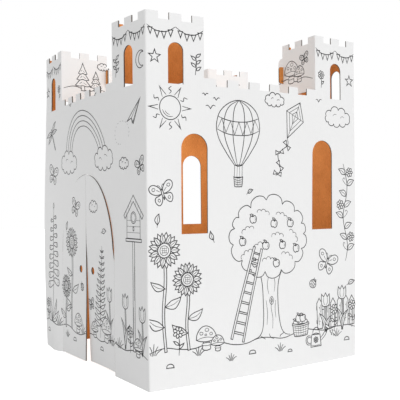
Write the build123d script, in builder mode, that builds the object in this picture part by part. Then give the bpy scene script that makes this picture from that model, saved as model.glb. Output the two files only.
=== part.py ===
import os
from math import atan2, cos, degrees, radians, tan

from build123d import *

os.makedirs("parts", exist_ok=True)

# Play castle of corrugated board. One sheet is folded round a square plan and cut free above
# its walls, so that flaps turn inwards there and close four corner towers. Two door leaves
# are cut free in the front wall and swing on their creases.
# Millimetres, +Z up, the door wall faces -Y. The origin is on the floor, in the middle.

# Overall size. The height is that of the walls, up to the tops of their merlons.
castle_width = 813.0
castle_depth = 813.0
wall_height = 900.0

# Corrugated board
board = 4.0
inner_fold_radius = 1.0
outer_fold_radius = inner_fold_radius + board
flap_crease_radius = 3.0

# Towers, square in plan, with merlons on all four sides
tower_side = 190.0
tower_rise = 180.0
tower_gap = 35.0
tower_gap_depth = 21.0
tower_gap_count = 2

# Arched loophole in each outer side of a tower, with its sill just below the wall's top
loophole_width = 50.0
loophole_drop = 24.0
loophole_height = 120.0

# Battlement of the walls between the towers
wall_gap = 39.4
wall_gap_depth = 22.0
wall_gap_count = 5

# Arched windows, two in each side wall
window_width = 90.0
window_sill = 441.0
window_head_drop = 165.0
window_spacing = 499.0

# Doorway. Seen from outside, it sits left of the middle.
door_width = 430.0
door_height = 630.0
door_arch_rise = 270.0
door_shift = 25.0

# Door leaves. The lip is what the crushed crease leaves of the board's outer face.
leaf_lift = 12.0
arch_gap = 1.5
seam_gap = 1.5
crease_gap = 0.4
crease_lip = 0.3
right_leaf_ajar = 3.0
grip_radius = 12.5
grip_height = 311.0
grip_inset = 46.0

# Inner flaps of a tower. One has an ear with a slot, a little nearer to its crease than the
# tower is wide, and the tab of the other one passes through it. The slots of the front wall
# sit higher than those of the side walls.
slot_run = 182.0
ear_reach = 22.0
ear_height = 137.0
ear_radius = 18.0
tab_reach = 19.0
tab_height = 57.0
tab_radius = 9.0
front_tab_lift = 70.0
side_tab_lift = 48.0
slot_clearance = 0.6

# Glued strip that closes the sheet at the far left corner
glue_width = 35.0
glue_end_gap = 35.0
glue_taper = 20.0

# Length by which a cutting shape passes a surface
overrun = 10.0

castle_height = wall_height + tower_rise
half_width = castle_width / 2
half_depth = castle_depth / 2
tower_x = half_width - tower_side
tower_y = half_depth - tower_side
tab_lean = degrees(atan2(tower_side - slot_run, tower_side - board / 2))
slot_width = board / cos(radians(tab_lean)) + board * tan(radians(tab_lean)) + 2 * slot_clearance
loophole_sill = wall_height - loophole_drop
window_height = wall_height - window_head_drop - window_sill
door_spring = door_height - door_arch_rise
crease_to_middle = (door_width - crease_gap) / 2
ear_top = wall_height + ear_height
glue_top = wall_height - wall_gap_depth - glue_end_gap


def arched(width, bottom, height, rise):
    """Upright outline that stands on its sill and ends in half an ellipse."""
    spring = bottom + height - rise
    with BuildSketch() as outline:
        with BuildLine():
            Polyline(
                (-width / 2, spring), (-width / 2, bottom), (width / 2, bottom), (width / 2, spring)
            )
            EllipticalCenterArc((0, spring), width / 2, rise, start_angle=0, arc_size=180)
        make_face()
    return outline.sketch


def gap_pitch(span, gap, count):
    """Distance between gaps that leave merlons of one width over this length."""
    return gap + (span - count * gap) / (count + 1)


def inner_flap(run, end):
    """Upper outline of a tower side from its crease, at 0. Its merlons are spaced over run."""
    with BuildSketch() as outline:
        with Locations((0, wall_height)):
            Rectangle(end, castle_height - wall_height, align=(Align.MIN, Align.MIN))
        with Locations((run / 2, castle_height)):
            with GridLocations(gap_pitch(run, tower_gap, tower_gap_count), 0, tower_gap_count, 1):
                Rectangle(tower_gap, 2 * tower_gap_depth, mode=Mode.SUBTRACT)
    return outline.sketch


def slot_flap(lift):
    """Flap with an ear that passes the other flap, and the slot at the ear's root."""
    with BuildSketch() as outline:
        add(inner_flap(slot_run, slot_run))
        with BuildLine():
            Polyline(
                (slot_run, wall_height),
                (slot_run + ear_reach, wall_height),
                (slot_run + ear_reach, ear_top),
                (slot_run, ear_top),
                close=True,
            )
        make_face()
        ear_corner = outline.vertices().group_by(Axis.X)[-1].sort_by(Axis.Y)[-1]
        fillet(ear_corner, ear_radius)
        with Locations((slot_run - board / 2, wall_height + lift + tab_height / 2)):
            Rectangle(slot_width, tab_height + 2 * slot_clearance, mode=Mode.SUBTRACT)
    return outline.sketch


def tab_flap(lift):
    """Flap that stops against the other one, and its tab that goes on through the slot."""
    stretch = 1 / cos(radians(tab_lean))
    flap_end = (tower_side - board - slot_clearance) * stretch
    tab_end = (tower_side + tab_reach) * stretch
    with BuildSketch() as outline:
        add(inner_flap(tower_side, flap_end))
        with Locations((flap_end / 2, wall_height + lift)):
            Rectangle(tab_end - flap_end / 2, tab_height, align=(Align.MIN, Align.MIN))
        fillet(outline.vertices().group_by(Axis.X)[-1], tab_radius)
    return outline.sketch


front_slot = slot_flap(front_tab_lift)
front_tab = tab_flap(front_tab_lift)
side_slot = slot_flap(side_tab_lift)
side_tab = tab_flap(side_tab_lift)

# Each flap: its outline, the foot of its crease, the way it runs, the way its board is thick,
# and the angle by which it misses a square fold
flaps = []
for side in (-1, 1):
    lean = side * tab_lean
    flaps.append((front_slot, (side * tower_x, -half_depth, 0), (0, 1, 0), (side, 0, 0), 0))
    flaps.append((front_tab, (side * half_width, -tower_y, 0), (-side, 0, 0), (0, -1, 0), lean))
    flaps.append((side_slot, (side * half_width, tower_y, 0), (-side, 0, 0), (0, 1, 0), 0))
    flaps.append((side_tab, (side * tower_x, half_depth, 0), (0, -1, 0), (side, 0, 0), lean))

# The four walls with their outward faces, for openings drawn as seen from outside
front_wall = Plane(origin=(0, -half_depth, 0), x_dir=(1, 0, 0), z_dir=(0, -1, 0))
right_wall = Plane(origin=(half_width, 0, 0), x_dir=(0, 1, 0), z_dir=(1, 0, 0))
back_wall = Plane(origin=(0, half_depth, 0), x_dir=(-1, 0, 0), z_dir=(0, 1, 0))
left_wall = Plane(origin=(-half_width, 0, 0), x_dir=(0, -1, 0), z_dir=(-1, 0, 0))

with BuildPart() as castle_shell:
    # Sheet folded round the plan
    with BuildSketch(Plane.XY):
        RectangleRounded(castle_width, castle_depth, outer_fold_radius)
        RectangleRounded(
            castle_width - 2 * board,
            castle_depth - 2 * board,
            inner_fold_radius,
            mode=Mode.SUBTRACT,
        )
    extrude(amount=castle_height)

    # Sheet cut free above each wall
    with BuildSketch(Plane.XY.offset(wall_height)):
        Rectangle(2 * tower_x, castle_depth + overrun)
        Rectangle(castle_width + overrun, 2 * tower_y)
    extrude(amount=castle_height, mode=Mode.SUBTRACT)

    # Gaps between the merlons of the towers' outer sides
    with BuildSketch(Plane.XY.offset(castle_height - tower_gap_depth)):
        tower_pitch = gap_pitch(tower_side, tower_gap, tower_gap_count)
        with Locations((-half_width + tower_side / 2, 0), (half_width - tower_side / 2, 0)):
            with GridLocations(tower_pitch, 0, tower_gap_count, 1):
                Rectangle(tower_gap, castle_depth + overrun)
        with Locations((0, -half_depth + tower_side / 2), (0, half_depth - tower_side / 2)):
            with GridLocations(0, tower_pitch, 1, tower_gap_count):
                Rectangle(castle_width + overrun, tower_gap)
    extrude(amount=tower_gap_depth + overrun, mode=Mode.SUBTRACT)

    # Flaps turned inwards from the creases
    for outline, foot, along, thick, lean in flaps:
        face_dir = Vector(along).cross(Vector(0, 0, 1))
        flap_plane = Plane(foot, x_dir=along, z_dir=face_dir).rotated((0, 0, lean))
        with BuildSketch(flap_plane):
            add(outline)
        extrude(amount=board * face_dir.dot(Vector(thick)))

    # Flaps trimmed flush with the outer faces of the walls
    with BuildSketch(Plane.XY):
        RectangleRounded(castle_width, castle_depth, outer_fold_radius)
    extrude(amount=castle_height, mode=Mode.INTERSECT)

    # Outside of each flap's crease, rounded where the board bends
    creases = []
    for edge in castle_shell.edges().filter_by(Axis.Z):
        foot = edge.center()
        on_front_or_back = abs(abs(foot.X) - tower_x) < board / 2 and abs(foot.Y) > half_depth - board / 2
        on_side = abs(abs(foot.Y) - tower_y) < board / 2 and abs(foot.X) > half_width - board / 2
        if on_front_or_back or on_side:
            creases.append(edge)
    fillet(creases, flap_crease_radius)

    # Gaps between the merlons of the walls
    with BuildSketch(Plane.XY.offset(wall_height - wall_gap_depth)):
        with GridLocations(gap_pitch(2 * tower_x, wall_gap, wall_gap_count), 0, wall_gap_count, 1):
            Rectangle(wall_gap, castle_depth + overrun)
        with GridLocations(0, gap_pitch(2 * tower_y, wall_gap, wall_gap_count), 1, wall_gap_count):
            Rectangle(castle_width + overrun, wall_gap)
    extrude(amount=wall_gap_depth, mode=Mode.SUBTRACT)

    # Loopholes in the outer sides of the towers
    for wall, half_length in (
        (front_wall, half_width),
        (right_wall, half_depth),
        (back_wall, half_width),
        (left_wall, half_depth),
    ):
        with BuildSketch(wall):
            middle = half_length - tower_side / 2
            with Locations((-middle, 0), (middle, 0)):
                add(arched(loophole_width, loophole_sill, loophole_height, loophole_width / 2))
        extrude(amount=-(board + overrun), mode=Mode.SUBTRACT)

    # Windows of the side walls
    for wall in (right_wall, left_wall):
        with BuildSketch(wall):
            for place in (-window_spacing / 2, window_spacing / 2):
                with Locations((place, 0)):
                    add(arched(window_width, window_sill, window_height, window_width / 2))
        extrude(amount=-(board + overrun), mode=Mode.SUBTRACT)

    # Doorway, open to the floor
    with BuildSketch(front_wall):
        with Locations((-door_shift, 0)):
            add(arched(door_width, -overrun, door_height + overrun, door_arch_rise))
    extrude(amount=-(board + overrun), mode=Mode.SUBTRACT)

    # Strip turned in from the back wall and glued inside the left one
    with BuildSketch(left_wall):
        with BuildLine():
            Polyline(
                (-half_depth + board, glue_end_gap),
                (-half_depth + board + glue_width, glue_end_gap + glue_taper),
                (-half_depth + board + glue_width, glue_top - glue_taper),
                (-half_depth + board, glue_top),
                close=True,
            )
        make_face()
    extrude(amount=-2 * board)
castle_shell.part.label = "castle_shell"
export_step(castle_shell.part, "parts/castle_shell.step")


def leaf_outline(side):
    """Outline of a leaf from its crease, at 0, towards the seam. Side is 1 for the right one."""
    middle = -side * crease_to_middle
    seam = middle + side * seam_gap / 2
    crease = -side * crease_gap / 2
    with BuildSketch() as outline:
        with Locations((middle, 0)):
            add(
                arched(
                    door_width - 2 * arch_gap,
                    leaf_lift,
                    door_height - leaf_lift - arch_gap,
                    door_arch_rise - arch_gap,
                )
            )
        with BuildLine():
            Polyline(
                (crease, leaf_lift),
                (middle, leaf_lift),
                (middle, door_spring),
                (crease, door_spring),
                close=True,
            )
        make_face()
        with BuildLine():
            Polyline(
                (crease, leaf_lift),
                (seam, leaf_lift),
                (seam, door_height),
                (crease, door_height),
                close=True,
            )
        make_face(mode=Mode.INTERSECT)
        with Locations((middle + side * grip_inset, grip_height)):
            Circle(grip_radius, mode=Mode.SUBTRACT)
    return outline.sketch


def hinge_plane(side, ajar):
    """Outer face of a leaf that stands this many degrees inwards, with the crease's foot at 0."""
    closed = Plane(
        origin=(side * crease_to_middle - door_shift, -half_depth, 0),
        x_dir=(1, 0, 0),
        z_dir=(0, -1, 0),
    )
    return closed.rotated((0, 0, -side * ajar))


def inner_crease(door, plane, side):
    """Edge of a leaf along its crease, on the inside of the castle."""
    foot = plane.from_local_coords((-side * crease_gap / 2, door_spring / 2, -board))
    return door.edges().filter_by(Axis.Z).sort_by_distance(foot)[0]


# Left leaf, closed
left_plane = hinge_plane(-1, 0)
with BuildPart() as left_door:
    with BuildSketch(left_plane):
        add(leaf_outline(-1))
    extrude(amount=-board)
    chamfer(inner_crease(left_door, left_plane, -1), board - crease_lip)
left_door.part.label = "left_door"
export_step(left_door.part, "parts/left_door.step")

# Right leaf, pushed a little inwards
right_plane = hinge_plane(1, right_leaf_ajar)
with BuildPart() as right_door:
    with BuildSketch(right_plane):
        add(leaf_outline(1))
    extrude(amount=-board)
    chamfer(inner_crease(right_door, right_plane, 1), board - crease_lip)
right_door.part.label = "right_door"
export_step(right_door.part, "parts/right_door.step")
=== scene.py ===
import random
from math import cos, pi, radians, sin

import bmesh
import bpy
import numpy as np
from mathutils import Matrix, Vector
from mathutils.bvhtree import BVHTree


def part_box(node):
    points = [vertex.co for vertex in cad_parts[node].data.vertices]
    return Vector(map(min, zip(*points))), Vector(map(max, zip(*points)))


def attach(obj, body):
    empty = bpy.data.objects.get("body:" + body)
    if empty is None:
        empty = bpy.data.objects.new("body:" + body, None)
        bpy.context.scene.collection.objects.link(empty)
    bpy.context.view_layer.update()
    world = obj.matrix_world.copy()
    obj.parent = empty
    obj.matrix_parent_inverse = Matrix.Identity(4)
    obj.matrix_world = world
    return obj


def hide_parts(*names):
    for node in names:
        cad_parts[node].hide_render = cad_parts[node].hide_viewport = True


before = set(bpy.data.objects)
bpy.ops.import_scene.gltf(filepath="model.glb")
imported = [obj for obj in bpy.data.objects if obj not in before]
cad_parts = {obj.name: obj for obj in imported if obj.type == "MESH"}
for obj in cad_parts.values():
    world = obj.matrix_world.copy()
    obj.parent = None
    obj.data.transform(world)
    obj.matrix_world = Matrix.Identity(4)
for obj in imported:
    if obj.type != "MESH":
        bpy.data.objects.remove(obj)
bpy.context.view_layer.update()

random.seed(11)
mm = 0.001
up = Vector((0, 0, 1))

# Sizes that all boards share: the outside from the frame, the rest as in part.py
shellLow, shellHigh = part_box("castle_shell")
halfWidth = (shellHigh[0] - shellLow[0]) / 2
castleTop = shellHigh[2]
board = 4 * mm
wallTop = 900 * mm
towerInner = halfWidth - 190 * mm
tabLean = radians(2.44)  # by this the tab flaps miss a square fold
flapLength = 210 * mm
flapMiddle = 95  # mm from a flap's crease to the middle of its tower's side
glueStrip = 36 * mm
flutePitch = 7.8 * mm
doorTop = 630 * mm
doorMiddle = -25 * mm
creaseReach = 214.8 * mm  # from the middle of the doorway to each leaf's crease
rightAjar = radians(3)


def addObject(name, data):
    made = bpy.data.objects.new(name, data)
    bpy.context.scene.collection.objects.link(made)
    return made


def addNode(tree, kind):
    return tree.nodes.new("ShaderNode" + kind)


def newMaterial(name, roughness, specular):
    material = bpy.data.materials.new(name)
    material.use_nodes = True
    tree = material.node_tree
    shader = tree.nodes["Principled BSDF"]
    shader.inputs["Roughness"].default_value = roughness
    shader.inputs["Specular IOR Level"].default_value = specular
    return material, tree, shader


def calc(tree, operation, first, second=0.0, clamp=False):
    node = addNode(tree, "Math")
    node.operation = operation
    node.use_clamp = clamp
    for socket, value in zip(node.inputs, (first, second)):
        if isinstance(value, (int, float)):
            socket.default_value = value
        else:
            tree.links.new(value, socket)
    return node.outputs[0]


def noise(tree, vector, scale, detail=3, stretch=(1, 1, 1)):
    mapping = addNode(tree, "Mapping")
    mapping.inputs["Scale"].default_value = stretch
    tree.links.new(vector, mapping.inputs["Vector"])
    node = addNode(tree, "TexNoise")
    node.inputs["Scale"].default_value = scale
    node.inputs["Detail"].default_value = detail
    tree.links.new(mapping.outputs[0], node.inputs["Vector"])
    return node.outputs["Fac"]


def spread(tree, value, low, high, toLow=0.0, toHigh=1.0):
    node = addNode(tree, "MapRange")
    tree.links.new(value, node.inputs["Value"])
    for socket, number in zip(list(node.inputs)[1:5], (low, high, toLow, toHigh)):
        socket.default_value = number
    return node.outputs[0]


def mixColour(tree, factor, first, second, mode="MIX"):
    node = addNode(tree, "Mix")
    node.data_type = "RGBA"
    node.blend_type = mode
    for socket, value in ((node.inputs[0], factor), (node.inputs[6], first), (node.inputs[7], second)):
        if isinstance(value, (int, float)):
            socket.default_value = value
        elif isinstance(value, tuple):
            socket.default_value = (*value, 1)
        else:
            tree.links.new(value, socket)
    return node.outputs[2]


def finishSurface(tree, shader, colour, bumps):
    tree.links.new(colour, shader.inputs["Base Color"])
    normal = None
    for height, distance in bumps:
        node = addNode(tree, "Bump")
        node.inputs["Distance"].default_value = distance
        tree.links.new(height, node.inputs["Height"])
        if normal:
            tree.links.new(normal, node.inputs["Normal"])
        normal = node.outputs["Normal"]
    tree.links.new(normal, shader.inputs["Normal"])


# The boards' UV map holds metres: along the wall, and up it or, on a cut edge, through the board
def boardCoordinates(tree):
    source = addNode(tree, "TexCoord")
    split = addNode(tree, "SeparateXYZ")
    tree.links.new(source.outputs["UV"], split.inputs[0])
    return source.outputs["Object"], split.outputs["X"], split.outputs["Y"]


def fluteWave(tree, along):
    return calc(tree, "SINE", calc(tree, "MULTIPLY", along, 2 * pi / flutePitch))


whiteSet = {
    "colour": (0.868, 0.868, 0.866),
    # the darker colour serves as painted shade along the flutes and as random mottle
    "shade": (0.80, 0.80, 0.805),
    "roughness": 0.62,
    "streaks": 0.16,  # shares of the darker colour: painted shade along the flute ripples, and random mottle in soft spots
    "mottle": 0.25,
    "dents": 1.2 * mm,
    "flutes": 0.05 * mm,
    "grain": 0.02 * mm,
}


def makeWhiteLiner():
    material, tree, shader = newMaterial("whiteLiner", whiteSet["roughness"], 0.35)
    place, along, _ = boardCoordinates(tree)
    wave = fluteWave(tree, along)
    patches = noise(tree, place, 5, 2)
    mottle = noise(tree, place, 60, 4)
    grain = noise(tree, place, 700, 2)
    # Painted shade: the colour darkens along the flute ripples where the board is soft; the mottle is
    # random tone
    streak = calc(tree, "MULTIPLY", spread(tree, wave, -1, 1), spread(tree, patches, 0.42, 0.62))
    streaks = calc(tree, "MULTIPLY", streak, whiteSet["streaks"])
    shade = calc(tree, "ADD", streaks, calc(tree, "MULTIPLY", mottle, whiteSet["mottle"]))
    colour = mixColour(tree, shade, whiteSet["colour"], whiteSet["shade"])
    bumps = (patches, whiteSet["dents"]), (streak, whiteSet["flutes"]), (grain, whiteSet["grain"])
    finishSurface(tree, shader, colour, bumps)
    return material


kraftSet = {
    "light": (0.81, 0.325, 0.09),
    "dark": (0.63, 0.225, 0.056),
    "fleck": (0.40, 0.13, 0.035),
    "bounce": (0.78, 0.59, 0.47),  # paler than its own colour, only for the light it throws on others
    "roughness": 0.75,
    "flutes": 0.06 * mm,
    "fibres": 0.05 * mm,
}


def makeKraftLiner():
    material, tree, shader = newMaterial("kraftLiner", kraftSet["roughness"], 0.2)
    place, along, _ = boardCoordinates(tree)
    wave = fluteWave(tree, along)
    clouds = noise(tree, place, 14, 4)
    fibres = noise(tree, place, 320, 3, (1, 1, 0.35))
    flecks = noise(tree, place, 900, 1, (1, 1, 0.3))
    tone = calc(tree, "ADD", calc(tree, "MULTIPLY", clouds, 0.5), calc(tree, "MULTIPLY", fibres, 0.5))
    # faint painted shade that follows the flute ripples
    tone = calc(tree, "ADD", tone, calc(tree, "MULTIPLY", wave, 0.02))
    colour = mixColour(tree, spread(tree, tone, 0.35, 0.65), kraftSet["light"], kraftSet["dark"])
    colour = mixColour(tree, spread(tree, flecks, 0.66, 0.74), colour, kraftSet["fleck"])
    rays = addNode(tree, "LightPath")
    colour = mixColour(tree, rays.outputs["Is Diffuse Ray"], colour, kraftSet["bounce"])
    finishSurface(tree, shader, colour, ((wave, kraftSet["flutes"]), (fibres, kraftSet["fibres"])))
    return material


cutSet = {
    "paper": (0.34, 0.29, 0.25),
    "fibre": (0.24, 0.20, 0.17),
    # painted shade: near-black where the open flute channels are
    "hollow": (0.045, 0.04, 0.036),
    "web": 0.13,  # thickness of the fluted web and of each liner, as shares of the board's
    "liner": 0.10,
    "wave": 0.36,
    "hollows": 0.4 * mm,
    "fuzz": 0.1 * mm,
}


def makeCutEdge():
    material, tree, shader = newMaterial("cutEdge", 0.9, 0.1)
    place, along, through = boardCoordinates(tree)
    depth = calc(tree, "DIVIDE", through, board)
    web = calc(tree, "ADD", calc(tree, "MULTIPLY", fluteWave(tree, along), cutSet["wave"]), 0.5)
    gap = calc(tree, "ABSOLUTE", calc(tree, "SUBTRACT", depth, web))
    paper = calc(tree, "LESS_THAN", gap, cutSet["web"])
    fromMiddle = calc(tree, "ABSOLUTE", calc(tree, "SUBTRACT", depth, 0.5))
    liner = calc(tree, "GREATER_THAN", fromMiddle, 0.5 - cutSet["liner"])
    solid = calc(tree, "MAXIMUM", paper, liner)
    fuzz = noise(tree, place, 500, 3)
    fibre = mixColour(tree, fuzz, cutSet["paper"], cutSet["fibre"])
    # the open flute channels between web and liners are painted near-black shade
    colour = mixColour(tree, solid, cutSet["hollow"], fibre)
    finishSurface(tree, shader, colour, ((solid, cutSet["hollows"]), (fuzz, cutSet["fuzz"])))
    return material


boardMaterials = [makeWhiteLiner(), makeKraftLiner(), makeCutEdge()]
white, kraft, cut = range(3)
print("materials made")


# A flat stretch of board: a point of its white face, the way that it runs, and its white side
def panel(origin, along, face, length, low=0.0, high=castleTop):
    return {
        "origin": Vector(origin),
        "along": Vector(along),
        "face": Vector(face),
        "length": length,
        "low": low,
        "high": high,
    }


def makeShellPanels():
    hw, ti = halfWidth, towerInner
    width = 2 * halfWidth
    walls = {
        "front": panel((-hw, -hw, 0), (1, 0, 0), (0, -1, 0), width),
        "right": panel((hw, -hw, 0), (0, 1, 0), (1, 0, 0), width),
        "back": panel((hw, hw, 0), (-1, 0, 0), (0, 1, 0), width),
        "left": panel((-hw, hw, 0), (0, -1, 0), (-1, 0, 0), width),
    }
    strip = panel((-hw + board, hw - board, 0), (0, -1, 0), (-1, 0, 0), glueStrip)
    flaps = []
    for side in (-1, 1):
        for origin, along, face, lean in (
            ((side * ti, -hw, 0), (0, 1, 0), (-side, 0, 0), 0),
            ((side * hw, ti, 0), (-side, 0, 0), (0, -1, 0), 0),
            ((side * hw, -ti, 0), (-side, 0, 0), (0, 1, 0), tabLean),
            ((side * ti, hw, 0), (0, -1, 0), (-side, 0, 0), tabLean),
        ):
            turn = Matrix.Rotation(side * lean, 3, "Z")
            flaps.append(panel(origin, turn @ Vector(along), turn @ Vector(face), flapLength, wallTop))
    return walls, flaps, strip


def throughThree(part, near, middle, far):
    # through three values, at -1, 0 and 1
    return middle * (1 - part * part) + near * part * (part - 1) / 2 + far * part * (part + 1) / 2


def bow(place, near, middle, far):
    # sideways shift of a wall that bows between two towers, whose sides stay flat
    if place < -towerInner:
        return near * (place + halfWidth) / (halfWidth - towerInner)
    if place > towerInner:
        return far * (halfWidth - place) / (halfWidth - towerInner)
    return throughThree(place / towerInner, near, middle, far)


def smooth(value):
    value = min(max(value, 0.0), 1.0)
    return value * value * (3 - 2 * value)


# Lengths are in mm. The first four say how far each wall's top bows outwards: at one tower, in the
# middle, at the other.
flexSet = {
    "front": (9, 21, 16),
    "right": (11, 22, 12),
    "back": (6, 9, 12),
    "left": (9, 12, 9),
    "foot": 0.15,  # share of the bow at the foot of the right and back walls
    "leftFootShare": 0.7,  # and of the left wall
    "lift": 2.6,  # how late the bow sets in on the way up
    "ripple": 0.9,  # over the middle of the side walls
    "frontFoot": 18.5,  # the front wall's foot stands out left of the door
    "frontFootPeak": 0.8,  # most at this share of the way to the door
    "rightFoot": (6.5, 9.5, -6),  # so does the right wall's, from its front to its back
    "footTop": 260,  # up to here
    "cornerBulge": 9.6,  # the front left corner, between these heights
    "cornerFrom": -10,
    "cornerTo": 780,
    "cornerLean": 4.5,  # and leans in above this height, fully so this much higher
    "leanFrom": 800,
    "leanOver": 150,
    "cornerWidth": 160,
}


def standOut(x):
    peak = flexSet["frontFootPeak"]
    part = (x + halfWidth) / (halfWidth + doorMiddle - creaseReach)
    return flexSet["frontFoot"] * min(part / peak, 1) * smooth((1 - part) / (1 - peak))


def cornerShare(place):
    # 1 at a corner, 0 where the doorway begins
    width = flexSet["cornerWidth"] * mm
    return min(max((place - halfWidth + width) / width, 0), 1)


def flexShell(point):
    x, y, z = point
    lift = z / wallTop
    sideLift = flexSet["foot"] + (1 - flexSet["foot"]) * min(lift, 1.0) ** flexSet["lift"]
    frontLift = smooth((z - doorTop) / (wallTop - doorTop))
    footLift = 1 - smooth(z / (flexSet["footTop"] * mm))
    if x > 0:
        shiftX = bow(y, *flexSet["right"]) * min(x / towerInner, 1) * sideLift
        shiftX += throughThree(y / halfWidth, *flexSet["rightFoot"]) * cornerShare(x) * footLift
    else:
        leftLift = flexSet["leftFootShare"] + (1 - flexSet["leftFootShare"]) * min(lift, 1.0) ** 2
        shiftX = bow(y, *flexSet["left"]) * max(x / towerInner, -1) * leftLift
    if y < 0:
        shiftY = bow(x, *flexSet["front"]) * max(y / towerInner, -1) * frontLift
        shiftY += standOut(x) * max(y / towerInner, -1) * footLift
    else:
        shiftY = bow(x, *flexSet["back"]) * min(y / towerInner, 1) * sideLift
    wave = flexSet["ripple"] * smooth((0.30 - abs(y)) / 0.1) * smooth(abs(x) / 0.1 - 3)
    shiftX += wave * sin(y * 23 + z * 5) * cos(z * 9)
    rise = (z / mm - flexSet["cornerFrom"]) / (flexSet["cornerTo"] - flexSet["cornerFrom"])
    lean = smooth((z / mm - flexSet["leanFrom"]) / flexSet["leanOver"])
    bulge = flexSet["cornerBulge"] * sin(pi * min(max(rise, 0), 1)) - flexSet["cornerLean"] * lean
    bulge *= cornerShare(-x) * cornerShare(-y) / 2**0.5
    shiftX -= bulge
    shiftY -= bulge
    return Vector((x + shiftX * mm, y + shiftY * mm, z))


# How a copied node's surfaces are told apart
kindSet = {
    "weld": 1e-6,
    "slack": 0.6 * mm,  # how far a white face may lie off its panel
    "upright": 0.05,  # most that an upright face's normal rises
    "square": 0.9,  # how squarely a face looks its panel's way
    "leafSquare": 0.5,  # inside a leaf, where its chamfer is kraft too
    "askew": 0.1,  # least that a rounded crease's normal turns off both walls
    "corner": 5.2 * mm,  # how far from a corner its rounded fold reaches
    "sharp": 35,  # degrees between two faces from which their edge is shaded sharp
}


def faceKind(centre, normal, panels, kraftBelow):
    # white outside, kraft inside, or the panel whose cut edge this is
    home = None
    slack = kindSet["slack"]
    for item in panels:
        offset = centre - item["origin"]
        depth = -offset.dot(item["face"])
        along = offset.dot(item["along"])
        inside = -slack < depth < board + slack and -mm < along < item["length"] + mm
        if not inside or not item["low"] - mm < centre.z < item["high"] + mm:
            continue
        home = home or item
        toFace = normal.dot(item["face"])
        upright = abs(normal.z) < kindSet["upright"]
        if upright and toFace > kindSet["square"] and depth < slack:
            return white, item
        if upright and toFace < -kraftBelow and depth > slack:
            return kraft, item
    return None, home


def shellKind(centre, normal, panels):
    kind, home = faceKind(centre, normal, panels, kindSet["square"])
    if kind is None:
        kind = cut
        fromCorner = max(halfWidth - abs(centre.x), halfWidth - abs(centre.y))
        upright = abs(normal.z) < kindSet["upright"]
        if upright and fromCorner < kindSet["corner"]:
            outwards = normal.x * centre.x + normal.y * centre.y
            kind = white if outwards > 0 else kraft
        elif upright and centre.z > wallTop and min(abs(normal.x), abs(normal.y)) > kindSet["askew"]:
            atCrease = abs(min(abs(centre.x), abs(centre.y)) - towerInner) < board
            kind = white if atCrease and max(abs(centre.x), abs(centre.y)) > halfWidth - board else cut
    return kind, home or panels[0]


def leafKind(centre, normal, panels):
    kind, home = faceKind(centre, normal, panels, kindSet["leafSquare"])
    return (cut if kind is None else kind), home or panels[0]


# Copy of a node with its surfaces named, UVs laid, and flexed as board that has been played with
def boardPiece(name, node, body, panels, kindOf, flex, step):
    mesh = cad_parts[node].data
    bm = bmesh.new()
    bm.from_mesh(mesh)
    bmesh.ops.remove_doubles(bm, verts=bm.verts, dist=kindSet["weld"])
    low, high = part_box(node)
    for axis in range(3):
        steps = int((high[axis] - low[axis]) / step)
        places = [low[axis] + (high[axis] - low[axis]) * k / (steps + 1) for k in range(1, steps + 1)]
        if node == "castle_shell" and axis < 2:
            edges = (halfWidth - board, towerInner, towerInner + board)
            places += [side * edge for edge in edges for side in (-1, 1)]
        if node == "castle_shell" and axis == 2:
            places.append(wallTop)
        normal = Vector([float(axis == k) for k in range(3)])
        for place in places:
            parts = bm.verts[:] + bm.edges[:] + bm.faces[:]
            bmesh.ops.bisect_plane(bm, geom=parts, dist=1e-7, plane_co=normal * place, plane_no=normal)
    bm.normal_update()
    sheet = bm.loops.layers.uv.new("board")
    for face in bm.faces:
        centre = face.calc_center_median()
        kind, home = kindOf(centre, face.normal, panels)
        face.material_index = kind
        face.smooth = True
        for loop in face.loops:
            offset = loop.vert.co - home["origin"]
            second = -offset.dot(home["face"]) if kind == cut else offset.z
            loop[sheet].uv = (offset.dot(home["along"]), second)
    sharp = radians(kindSet["sharp"])
    for edge in bm.edges:
        edge.smooth = len(edge.link_faces) == 2 and edge.calc_face_angle(0) < sharp
    for vert in bm.verts:
        vert.co = flex(vert.co)
    bm.normal_update()
    tree = BVHTree.FromBMesh(bm)
    piece = addObject(name, bpy.data.meshes.new(name))
    bm.to_mesh(piece.data)
    bm.free()
    for material in boardMaterials:
        piece.data.materials.append(material)
    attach(piece, body)
    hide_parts(node)
    print(name, "made,", len(piece.data.polygons), "faces")
    return tree


walls, flaps, strip = makeShellPanels()
shellPanels = [*walls.values(), *flaps, strip]
shellStep = 30 * mm  # longest run of board without a cut to bend at
leafStep = 20 * mm
shellTree = boardPiece(
    "castleBoard", "castle_shell", "castle", shellPanels, shellKind, flexShell, shellStep
)

# How the leaves stand off their wall: the right one is pushed in at its foot, both are proud of
# the arch, and their lower edges hang a little. Lengths are in mm.
leafSet = {
    "pushedIn": 13,
    "pushTop": 480,
    "rightProud": 4.5,  # above this height, fully so this much higher
    "proudFrom": 345,
    "proudOver": 60,
    "leftProud": 1.1,
    "leftFoot": 4,
    "rightHang": 7,
    "leftHang": 10,
    "hangTop": 200,
    "warp": 1.4,
    "pushFade": 1.3,  # how fast the push is lost on the way up
    "hingeRun": 1 / 8,  # share of the left leaf over which it comes to stand proud
    "seamProud": 0.7,  # share of the right one's stand that is lost at the seam
    "seamHang": 0.45,  # share of the left one's hang that is lost at the seam
}
leftLeaf = panel((doorMiddle - creaseReach, -halfWidth, 0), (1, 0, 0), (0, -1, 0), creaseReach, 0, doorTop)
rightLeaf = panel(
    (doorMiddle + creaseReach, -halfWidth, 0),
    (-cos(rightAjar), sin(rightAjar), 0),
    (-sin(rightAjar), -cos(rightAjar), 0),
    creaseReach,
    0,
    doorTop,
)


def hang(z, amount):
    return amount * mm * max(1 - z / (leafSet["hangTop"] * mm), 0)


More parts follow.
